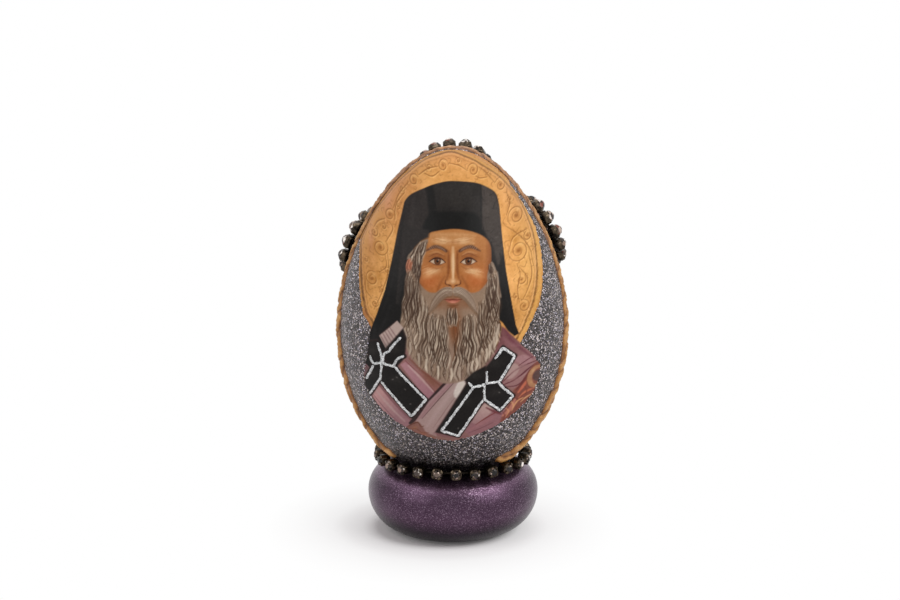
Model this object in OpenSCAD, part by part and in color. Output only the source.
// A turned wooden egg, dressed with a pasted print, glitter, a piped relief line and
// rhinestone cup chain, and fixed on a turned wooden stand.
// The origin is at the middle of the stand's underside, +Z is up, and the print faces -Y.

/* [Egg] */
// Widest diameter of the bare wooden egg
egg_d = 44.8; // [40:0.2:50]
// Height of the bare wooden egg from end to end
egg_h = 67.2; // [60:0.2:74]
// How much blunter the lower end is than the upper, as a share of the radius
drop_share = 0.08; // [0:0.01:0.14]
// How much both ends are drawn in from an ellipse, as a share of the radius
taper_share = 0.108; // [0:0.004:0.15]

/* [Stand] */
// Widest diameter of the stand
stand_d = 34.4; // [32:0.2:42]
// Height of the stand
stand_h = 13.9; // [12.5:0.1:18]
// Diameter of the flat underside
stand_foot_d = 18.8; // [14:0.2:26]
// Height of the widest level of the stand
stand_belly_z = 8; // [6:0.1:9]
// Width of the flat land between the egg's coat and the crest of the stand
stand_land_w = 0.9; // [0.4:0.1:1.6]
// How deep the bare egg sits in the stand
seat_depth = 3.8; // [2.5:0.1:5]

/* [Dowel] */
// Diameter of the dowel that pins the egg to the stand
dowel_d = 8; // [5:0.5:10]
// Length of the dowel
dowel_l = 16; // [12:0.5:22]
// Depth of the dowel's bore below the seat
dowel_stand_depth = 5; // [3:0.25:6]
// Width of the bevel at each end of the dowel
dowel_bevel = 0.6; // [0.2:0.1:1]
// Glue room round the dowel
dowel_gap = 0.05; // [0.02:0.01:0.2]
// Glue room past the upper end of the dowel
dowel_end_gap = 0.6; // [0.2:0.1:2]

/* [Coat and print] */
// Thickness of the glitter coat
coat_t = 0.3; // [0.2:0.05:0.5]
// Thickness of the pasted print with its varnish
print_t = 0.2; // [0.1:0.05:0.3]
// Widest width of the print, seen from the front
print_w = 36.8; // [30:0.2:38]
// Height of the print's lower edge above the stand
print_lift = 9.4; // [7:0.1:17]
// How far the upper edge of the print stays in front of the egg's middle
print_setback = 0.6; // [0.4:0.1:3]

/* [Silver outlines] */
// Width of a painted silver line
silver_w = 0.55; // [0.4:0.05:0.8]
// Height of a painted silver line above the print
silver_t = 0.18; // [0.1:0.02:0.3]

/* [Relief line] */
// Width of the piped relief line
relief_w = 2.8; // [2:0.1:3.4]
// Height of the piped relief line
relief_t = 0.8; // [0.5:0.05:1.2]
// Distance from one lobe of the relief line to the next
relief_pitch = 4; // [3:0.1:6]
// How far behind the egg's middle the relief line passes the crown
relief_crown_back = 1.4; // [0.8:0.1:2]
// How far in front of the egg's middle its left end lies
relief_left_front = 6.6; // [3:0.1:8]
// How far in front of the egg's middle its right end lies
relief_right_front = 9.5; // [3:0.1:10]

/* [Cup chain] */
// Diameter of a stone cup of the spaced chain
cup_d = 2.3; // [2:0.05:2.5]
// Diameter of a stone cup of the close chain
rosette_cup_d = 2.7; // [2.4:0.05:2.9]
// Height of a stone cup
cup_h = 1.9; // [1.4:0.05:2.2]
// Thickness of the wall and floor of a cup
cup_wall = 0.2; // [0.15:0.01:0.3]
// Height of a stone's crown above the rim of its cup
stone_crown_h = 0.5; // [0.3:0.05:0.7]
// Width of a prong
prong_w = 0.4; // [0.3:0.05:0.6]
// Height of a prong above the rim of its cup
prong_h = 0.3; // [0.15:0.05:0.45]
// Width of a link between two cups
link_w = 0.6; // [0.4:0.05:0.9]
// Thickness of a link
link_t = 0.35; // [0.2:0.05:0.5]
// Distance from stone to stone in the spaced chain round the neck
neck_pitch = 3.65; // [3.4:0.05:5]
// Distance from stone to stone in the close chain of the rosettes
rosette_pitch = 3.2; // [3.05:0.05:3.5]

/* [Places] */
// Height of the neck chain's middle above the stand
neck_lift = 1.6; // [1.15:0.05:2]
// How far behind the egg's middle the crown rosette is centred
crown_rosette_back = 11.8; // [7.4:0.1:12]
// How far the crown rosette is centred to the right
crown_rosette_right = 0.5; // [-2:0.1:2]
// Height of the left rosette's middle above the egg's middle
left_rosette_rise = 13.2; // [10:0.1:17]
// How far behind the egg's middle the left rosette is centred
left_rosette_back = 9.6; // [4.8:0.1:10]
// Height of the right rosette's middle above the egg's middle
right_rosette_rise = 15.8; // [10:0.1:17]
// How far behind the egg's middle the right rosette is centred
right_rosette_back = 7.5; // [4.8:0.1:9]

/* [Hidden] */

// Steps of the turned outlines and of the swept lines
egg_steps = 44;
stand_steps = 12;
path_steps = 90;
lobe_rings = 6;
stroke_step = 1.6;
bisections = 16;
// Gap between the chain and the coat, and how far a cut runs past a face
chain_gap = 0.05;
overrun = 1;

// Greatest radius that the outline formula gives to an egg of radius 1
egg_widest = max([for (i = [0:egg_steps]) egg_unit(2 * i / egg_steps - 1)]);

// Heights that follow from the sizes above
egg_z = stand_h - seat_depth;
egg_mid = egg_z + egg_h / 2;
egg_top = egg_mid + egg_h / 2 + coat_t;
coat_d = egg_d + 2 * coat_t;
coat_h = egg_h + 2 * coat_t;
print_d = egg_d + 2 * print_t;
print_solid_h = egg_h + 2 * print_t;
stand_crest_r = egg_radius(stand_h, coat_d, coat_h) + stand_land_w;
dowel_z = egg_z - dowel_stand_depth;
neck_z = stand_h + neck_lift;
neck_r = egg_radius(neck_z + cup_d / 2, coat_d, coat_h) + chain_gap + cup_h / 2;
neck_count = round(360 / (2 * asin(neck_pitch / 2 / neck_r)));
relief_end_z = neck_z + cup_d / 2 + relief_w / 2;
print_z = stand_h + print_lift;
print_h = egg_top - print_z;

// Height of a stone's tip above the base of its cup
stone_floor_z = cup_wall;

// Outline of the print, seen from the front: across as a share of half its width, and up as
// a share of its height, from its lower edge
print_shares = [
    [0, 0], [0.2, 0.018], [0.37, 0.041], [0.55, 0.073], [0.71, 0.112], [0.85, 0.163],
    [0.92, 0.22], [0.925, 0.265], [0.87, 0.3], [0.79, 0.333], [0.7, 0.362], [0.76, 0.395],
    [0.84, 0.44], [0.9, 0.48], [0.94, 0.53], [0.955, 0.6], [0.935, 0.67], [0.885, 0.73],
    [0.815, 0.777], [0.69, 0.847], [0.6, 0.885], [0.6, 1.05], [-1, 1.05], [-1, 0.58],
    [-0.985, 0.51], [-0.95, 0.45], [-0.865, 0.41], [-0.89, 0.35], [-0.92, 0.28],
    [-0.945, 0.235], [-0.935, 0.185], [-0.86, 0.145], [-0.75, 0.1], [-0.6, 0.063],
    [-0.4, 0.028], [-0.2, 0.007]
];

// The silver strokes round the dark crosses, in the same shares
silver_shares = [
    [[-0.79, 0.36], [-0.745, 0.313], [-0.745, 0.288]],
    [[-0.745, 0.288], [-0.71, 0.328], [-0.67, 0.335], [-0.62, 0.36], [-0.537, 0.392]],
    [[-0.745, 0.288], [-0.632, 0.282], [-0.609, 0.296], [-0.566, 0.317], [-0.507, 0.326]],
    [[-0.872, 0.306], [-0.839, 0.278], [-0.745, 0.288]],
    [[-0.745, 0.288], [-0.76, 0.23], [-0.879, 0.156]],
    [[-0.833, 0.273], [-0.915, 0.212]],
    [[-0.62, 0.286], [-0.6, 0.278], [-0.283, 0.169], [-0.435, 0.096], [-0.754, 0.216]],
    [[0.351, 0.276], [0.352, 0.229], [0.482, 0.232], [0.644, 0.32], [0.519, 0.355], [0.435, 0.317]],
    [[0.469, 0.235], [0.502, 0.214], [0.629, 0.169], [0.492, 0.119], [0.327, 0.168], [0.326, 0.226]],
    [[0.314, 0.168], [0.055, 0.024], [-0.121, 0.045], [0.209, 0.218], [0.339, 0.225]],
    [[0.158, 0.238], [0.209, 0.218]]
];

// Section of a piped lobe: across as a share of half its width, and up as a share of its height
relief_across_shares = [-1, -0.8, -0.35, 0.1, 0.5, 0.85, 1];
relief_up_shares = [0.1, 0.65, 0.95, 1, 0.9, 0.6, 0.1];
// How deep the notches between lobes go, in height and in width, and how far lobes slant
relief_notch_share = 0.4;
relief_waist_share = 0.2;
relief_slant_share = 0.3;

// Width of a silver line's crest, and of a stone's tip and table, as shares of their full width
silver_crest_share = 0.6;
stone_tip_share = 0.25;
stone_table_share = 0.6;

// Where a search for the egg's surface starts and ends, as shares of the way to the point
near_share = 0.7;
far_share = 1.4;
// Part of the coat's thickness over which a slope is read
slope_share = 0.1;
// Angle over which the relief line's direction is read
look_ahead = 0.5;

// Radius of the egg's outline at height z, for an egg of diameter d and height h
function egg_unit(u) = sqrt(max(0, 1 - u * u)) * (1 - drop_share * u - taper_share * u * u);
function egg_radius(z, d, h) = d / 2 / egg_widest * egg_unit((z - egg_mid) / (h / 2));
// Outline points of the egg from height z to its top, which ends in a small flat
function egg_points(d, h, z) =
    let (start = acos(min(1, (egg_mid - z) / (h / 2))))
    [for (i = [0:egg_steps])
        let (high = egg_mid - h / 2 * cos(start + (180 - start) * min(i, egg_steps - 1) / egg_steps))
        [i == egg_steps ? 0 : egg_radius(high, d, h), high]];

function unit(v) = v / norm(v);
// Direction out of the coat at a point of it
function egg_normal(p) =
    let (
        step = coat_t * slope_share,
        slope = (coat_radius(p[2] + step) - coat_radius(p[2] - step)) / (2 * step)
    )
    unit([p[0] / norm([p[0], p[1]]), p[1] / norm([p[0], p[1]]), -slope]);
function coat_radius(z) = egg_radius(z, coat_d, coat_h);
// The point of an egg of diameter d and height h that lies in line with p from its middle
function onto_egg(p, d = coat_d, h = coat_h, low = near_share, high = far_share, turn = 0) =
    let (mid = (low + high) / 2, q = [p[0] * mid, p[1] * mid, egg_mid + (p[2] - egg_mid) * mid])
    turn == bisections ? q
    : norm([q[0], q[1]]) < egg_radius(q[2], d, h) ? onto_egg(p, d, h, mid, high, turn + 1)
    : onto_egg(p, d, h, low, mid, turn + 1);

// Turned stand: a round bun with a flat underside and a hollow seat for the egg
module stand() {
    foot_r = stand_foot_d / 2;
    belly_r = stand_d / 2;
    lower = [for (i = [0:stand_steps])
        let (a = 90 * i / stand_steps)
        [foot_r + (belly_r - foot_r) * sin(a), stand_belly_z * (1 - cos(a))]];
    upper = [for (i = [1:stand_steps])
        let (a = 90 * i / stand_steps, r = stand_crest_r + (belly_r - stand_crest_r) * cos(a))
        [r, stand_belly_z + (stand_h - stand_belly_z) * sin(a)]];
    color("#4b325a")
        difference() {
            rotate_extrude($fn = 96)
                polygon(concat([[0, 0]], lower, upper, [[0, stand_h]]));
            bare_egg();
            translate([0, 0, dowel_z])
                cylinder(d = dowel_d + 2 * dowel_gap, h = dowel_stand_depth + seat_depth, $fn = 48);
        }
}

module bare_egg() {
    rotate_extrude($fn = 96)
        polygon(egg_points(egg_d, egg_h, egg_z));
}

// Turned egg with a blind bore for the dowel
module egg_body() {
    color("#c9a877")
        difference() {
            bare_egg();
            translate([0, 0, egg_z - overrun])
                cylinder(
                    d = dowel_d + 2 * dowel_gap,
                    h = overrun + dowel_l - dowel_stand_depth + dowel_end_gap,
                    $fn = 48
                );
        }
}

// Dowel glued into both bores
module dowel() {
    r = dowel_d / 2;
    color("#d9bb8c")
        translate([0, 0, dowel_z])
            rotate_extrude($fn = 48)
                polygon([
                    [0, 0], [r - dowel_bevel, 0], [r, dowel_bevel], [r, dowel_l - dowel_bevel],
                    [r - dowel_bevel, dowel_l], [0, dowel_l]
                ]);
}

// Shell on the bare egg, from the top of the stand up, for a coat of thickness t
module egg_shell(t) {
    inner = egg_points(egg_d, egg_h, stand_h);
    outer = egg_points(egg_d + 2 * t, egg_h + 2 * t, stand_h);
    rotate_extrude($fn = 96)
        polygon(concat(outer, [for (i = [egg_steps:-1:0]) inner[i]]));
}

// Where the print lies, as a block through the front half of the egg
module print_block() {
    reach = egg_d;
    outline = [for (s = print_shares) [s[0] * print_w / 2, print_z + s[1] * print_h]];
    translate([0, -print_setback, 0])
        rotate([90, 0, 0])
            linear_extrude(reach)
                polygon(outline);
}

module glitter_coat() {
    color("#6b6570")
        difference() {
            egg_shell(coat_t);
            print_block();
        }
}

module icon_print() {
    color("#d9a45b")
        intersection() {
            egg_shell(print_t);
            print_block();
        }
}

// Solid that joins rings of points, each ring listed the same way round
module swept(rings) {
    count = len(rings[0]);
    last = len(rings) - 1;
    sides = [for (i = [0:last - 1], j = [0:count - 1])
        let (a = i * count + j, b = i * count + (j + 1) % count)
        each [[a, b, b + count], [a, b + count, a + count]]];
    caps = [for (j = [1:count - 2])
        each [[0, j + 1, j], [last * count, last * count + j, last * count + j + 1]]];
    polyhedron([for (ring = rings) each ring], concat(sides, caps));
}

// Silver strokes: low ridges that follow the print, as runs of dots joined two by two
function silver_point(s) =
    let (
        x = s[0] * print_w / 2,
        z = print_z + s[1] * print_h,
        r = egg_radius(z, print_d, print_solid_h)
    )
    [x, -sqrt(max(0, r * r - x * x)), z];

module silver_dot(s) {
    p = silver_point(s);
    out = egg_normal(p);
    place([p, out, unit(cross([0, 0, 1], out))])
        cylinder(d1 = silver_w, d2 = silver_w * silver_crest_share, h = silver_t, $fn = 8);
}

module silver_outlines() {
    color("#dfe1e4")
        for (stroke = silver_shares, i = [0:len(stroke) - 2]) {
            a = stroke[i];
            b = stroke[i + 1];
            steps = max(1, ceil(norm(silver_point(b) - silver_point(a)) / stroke_step));
            for (k = [1:steps])
                hull() {
                    silver_dot(a + (b - a) * (k - 1) / steps);
                    silver_dot(a + (b - a) * k / steps);
                }
        }
}

// Route of the relief line, by the angle that a point lies from the crown, seen from the front
function relief_front(angle) = angle < 0 ? relief_left_front : relief_right_front;
function relief_y(z, angle) =
    relief_crown_back - (relief_crown_back + relief_front(angle)) * (egg_top - z) / (egg_top - relief_end_z);
function relief_point(angle, low = 0, high = coat_h, turn = 0) =
    let (
        reach = (low + high) / 2,
        z = egg_mid + reach * cos(angle),
        x = reach * sin(angle),
        y = relief_y(z, angle)
    )
    turn == bisections ? [x, y, z]
    : norm([x, y]) < coat_radius(z) ? relief_point(angle, reach, high, turn + 1)
    : relief_point(angle, low, reach, turn + 1);
function relief_end_angle(front) =
    let (r = coat_radius(relief_end_z))
    atan2(sqrt(r * r - front * front), relief_end_z - egg_mid);

relief_start = -relief_end_angle(relief_left_front);
relief_stop = relief_end_angle(relief_right_front);
relief_angles = [for (i = [0:path_steps]) relief_start + (relief_stop - relief_start) * i / path_steps];
relief_route = [for (a = relief_angles) relief_point(a)];
relief_lengths = [for (
    i = 0, total = 0;
    i <= path_steps;
    total = total + (i < path_steps ? norm(relief_route[i + 1] - relief_route[i]) : 0), i = i + 1
) total];
relief_by_length = [for (i = [0:path_steps]) [relief_lengths[i], relief_angles[i]]];
relief_length = relief_lengths[path_steps];
relief_lobes = round(relief_length / relief_pitch);

// How full a lobe is at a place along the line, counted in lobes
function lobe_share(place) = sqrt(abs(sin(180 * place)));

function relief_ring(i) =
    let (
        along = i / lobe_rings,
        angle = lookup(along / relief_lobes * relief_length, relief_by_length),
        middle = relief_point(angle),
        ahead = relief_point(angle + look_ahead) - middle,
        side = unit(cross(egg_normal(middle), ahead)) * relief_w / 2,
        waist = 1 - relief_waist_share * (1 - lobe_share(along)),
        feet = [for (s = relief_across_shares) onto_egg(middle + side * s * waist)]
    )
    concat(
        [for (k = [0:len(feet) - 1])
            let (full = lobe_share(along + relief_slant_share * relief_across_shares[k]))
            feet[k] + egg_normal(feet[k]) * relief_t * relief_up_shares[k]
                * (1 - relief_notch_share * (1 - full))],
        [for (k = [len(feet) - 1:-2:0]) feet[k]]
    );

module relief_border() {
    color("#b9803f")
        swept([for (i = [0:relief_lobes * lobe_rings]) relief_ring(i)]);
}

// A place on a chain: the middle of a cup's base, the way it faces, and a direction across it
module place(spot) {
    across = spot[2];
    out = spot[1];
    up = cross(out, across);
    multmatrix([
        [across[0], up[0], out[0], spot[0][0]],
        [across[1], up[1], out[1], spot[0][1]],
        [across[2], up[2], out[2], spot[0][2]],
        [0, 0, 0, 1]
    ])
        children();
}

// Stamped cup of diameter d with four prongs
module cup(d) {
    r = d / 2;
    rotate_extrude($fn = 32)
        polygon([
            [0, 0], [r, 0], [r, cup_h], [r - cup_wall, cup_h], [r - cup_wall, cup_wall], [0, cup_wall]
        ]);
    for (a = [45:90:315])
        rotate(a)
            translate([r - cup_wall, -prong_w / 2, cup_h - prong_h])
                cube([cup_wall / 2, prong_w, 2 * prong_h]);
}

// Cut stone in a cup of diameter d: a cone below the girdle and a table crown above it
module stone(d) {
    r = d / 2 - cup_wall;
    depth = cup_h - stone_floor_z;
    translate([0, 0, stone_floor_z])
        cylinder(r1 = r * stone_tip_share, r2 = r, h = depth, $fn = 8);
    translate([0, 0, cup_h])
        cylinder(r1 = r, r2 = r * stone_table_share, h = stone_crown_h, $fn = 8);
}

// Flat link that joins the wall of one cup of diameter d to the wall of the next
module link(from, to, d) {
    gap = norm(to[0] - from[0]) - d;
    run = unit(to[0] - from[0]);
    out = unit(from[1] + to[1]);
    middle = (from[0] + to[0]) / 2;
    side = unit(cross(out, run));
    place([middle, unit(cross(run, side)), run])
        translate([-gap / 2, -link_w / 2, cup_wall])
            cube([gap, link_w, link_t]);
}

// Chain round the neck, facing outwards, and how far its first cup lies past the front, as a
// share of the way to the next
neck_turn_share = 0.15;
function neck_spot(i) =
    let (a = 360 * (i + neck_turn_share) / neck_count - 90, out = [cos(a), sin(a), 0])
    [out * (neck_r - cup_h / 2) + [0, 0, neck_z], out, [-sin(a), cos(a), 0]];
neck_spots = [for (i = [0:neck_count - 1]) neck_spot(i)];

// Rosette: close chain coiled flat round a first stone, in a ring of six and a ring of twelve
rosette_rings = [1, 6, 12];
// Where a ring starts, as a share of the way from one of its stones to the next
rosette_turn_share = 0.7;
function rosette_spots(middle, turn_share = rosette_turn_share) =
    let (
        centre = onto_egg(middle),
        out = egg_normal(centre),
        across = unit(cross([0, 0, 1], out)),
        up = cross(out, across)
    )
    [for (n = rosette_rings, i = [0:n - 1])
        let (r = n == 1 ? 0 : rosette_pitch / 2 / sin(180 / n), a = 360 * (i + turn_share) / n - 90)
        [centre + out * chain_gap + (across * cos(a) + up * sin(a)) * r, out, across]];

crown_spots = rosette_spots([
    crown_rosette_right, crown_rosette_back,
    egg_mid + sqrt(pow(coat_h / 2, 2) - pow(crown_rosette_back, 2))
]);
left_spots = rosette_spots(side_middle(-1, left_rosette_rise, left_rosette_back), 1 - rosette_turn_share);
right_spots = rosette_spots(side_middle(1, right_rosette_rise, right_rosette_back));
function side_middle(way, rise, back) =
    let (r = coat_radius(egg_mid + rise))
    [way * sqrt(r * r - back * back), back, egg_mid + rise];

module cups(spots, d) {
    color("#5a4a3a")
        for (spot = spots)
            place(spot) cup(d);
}

module stones(spots, d) {
    color("#3b3433")
        for (spot = spots)
            place(spot) stone(d);
}

module links(spots, d, closed = false) {
    color("#6e5c47")
        for (i = [0:len(spots) - (closed ? 1 : 2)])
            link(spots[i], spots[(i + 1) % len(spots)], d);
}

module neck_chain_cups() cups(neck_spots, cup_d);
module neck_chain_stones() stones(neck_spots, cup_d);
module neck_chain_links() links(neck_spots, cup_d, closed = true);
module crown_rosette_cups() cups(crown_spots, rosette_cup_d);
module crown_rosette_stones() stones(crown_spots, rosette_cup_d);
module crown_rosette_links() links(crown_spots, rosette_cup_d);
module left_rosette_cups() cups(left_spots, rosette_cup_d);
module left_rosette_stones() stones(left_spots, rosette_cup_d);
module left_rosette_links() links(left_spots, rosette_cup_d);
module right_rosette_cups() cups(right_spots, rosette_cup_d);
module right_rosette_stones() stones(right_spots, rosette_cup_d);
module right_rosette_links() links(right_spots, rosette_cup_d);

stand();
egg_body();
dowel();
glitter_coat();
icon_print();
silver_outlines();
relief_border();
neck_chain_cups();
neck_chain_stones();
neck_chain_links();
crown_rosette_cups();
crown_rosette_stones();
crown_rosette_links();
left_rosette_cups();
left_rosette_stones();
left_rosette_links();
right_rosette_cups();
right_rosette_stones();
right_rosette_links();
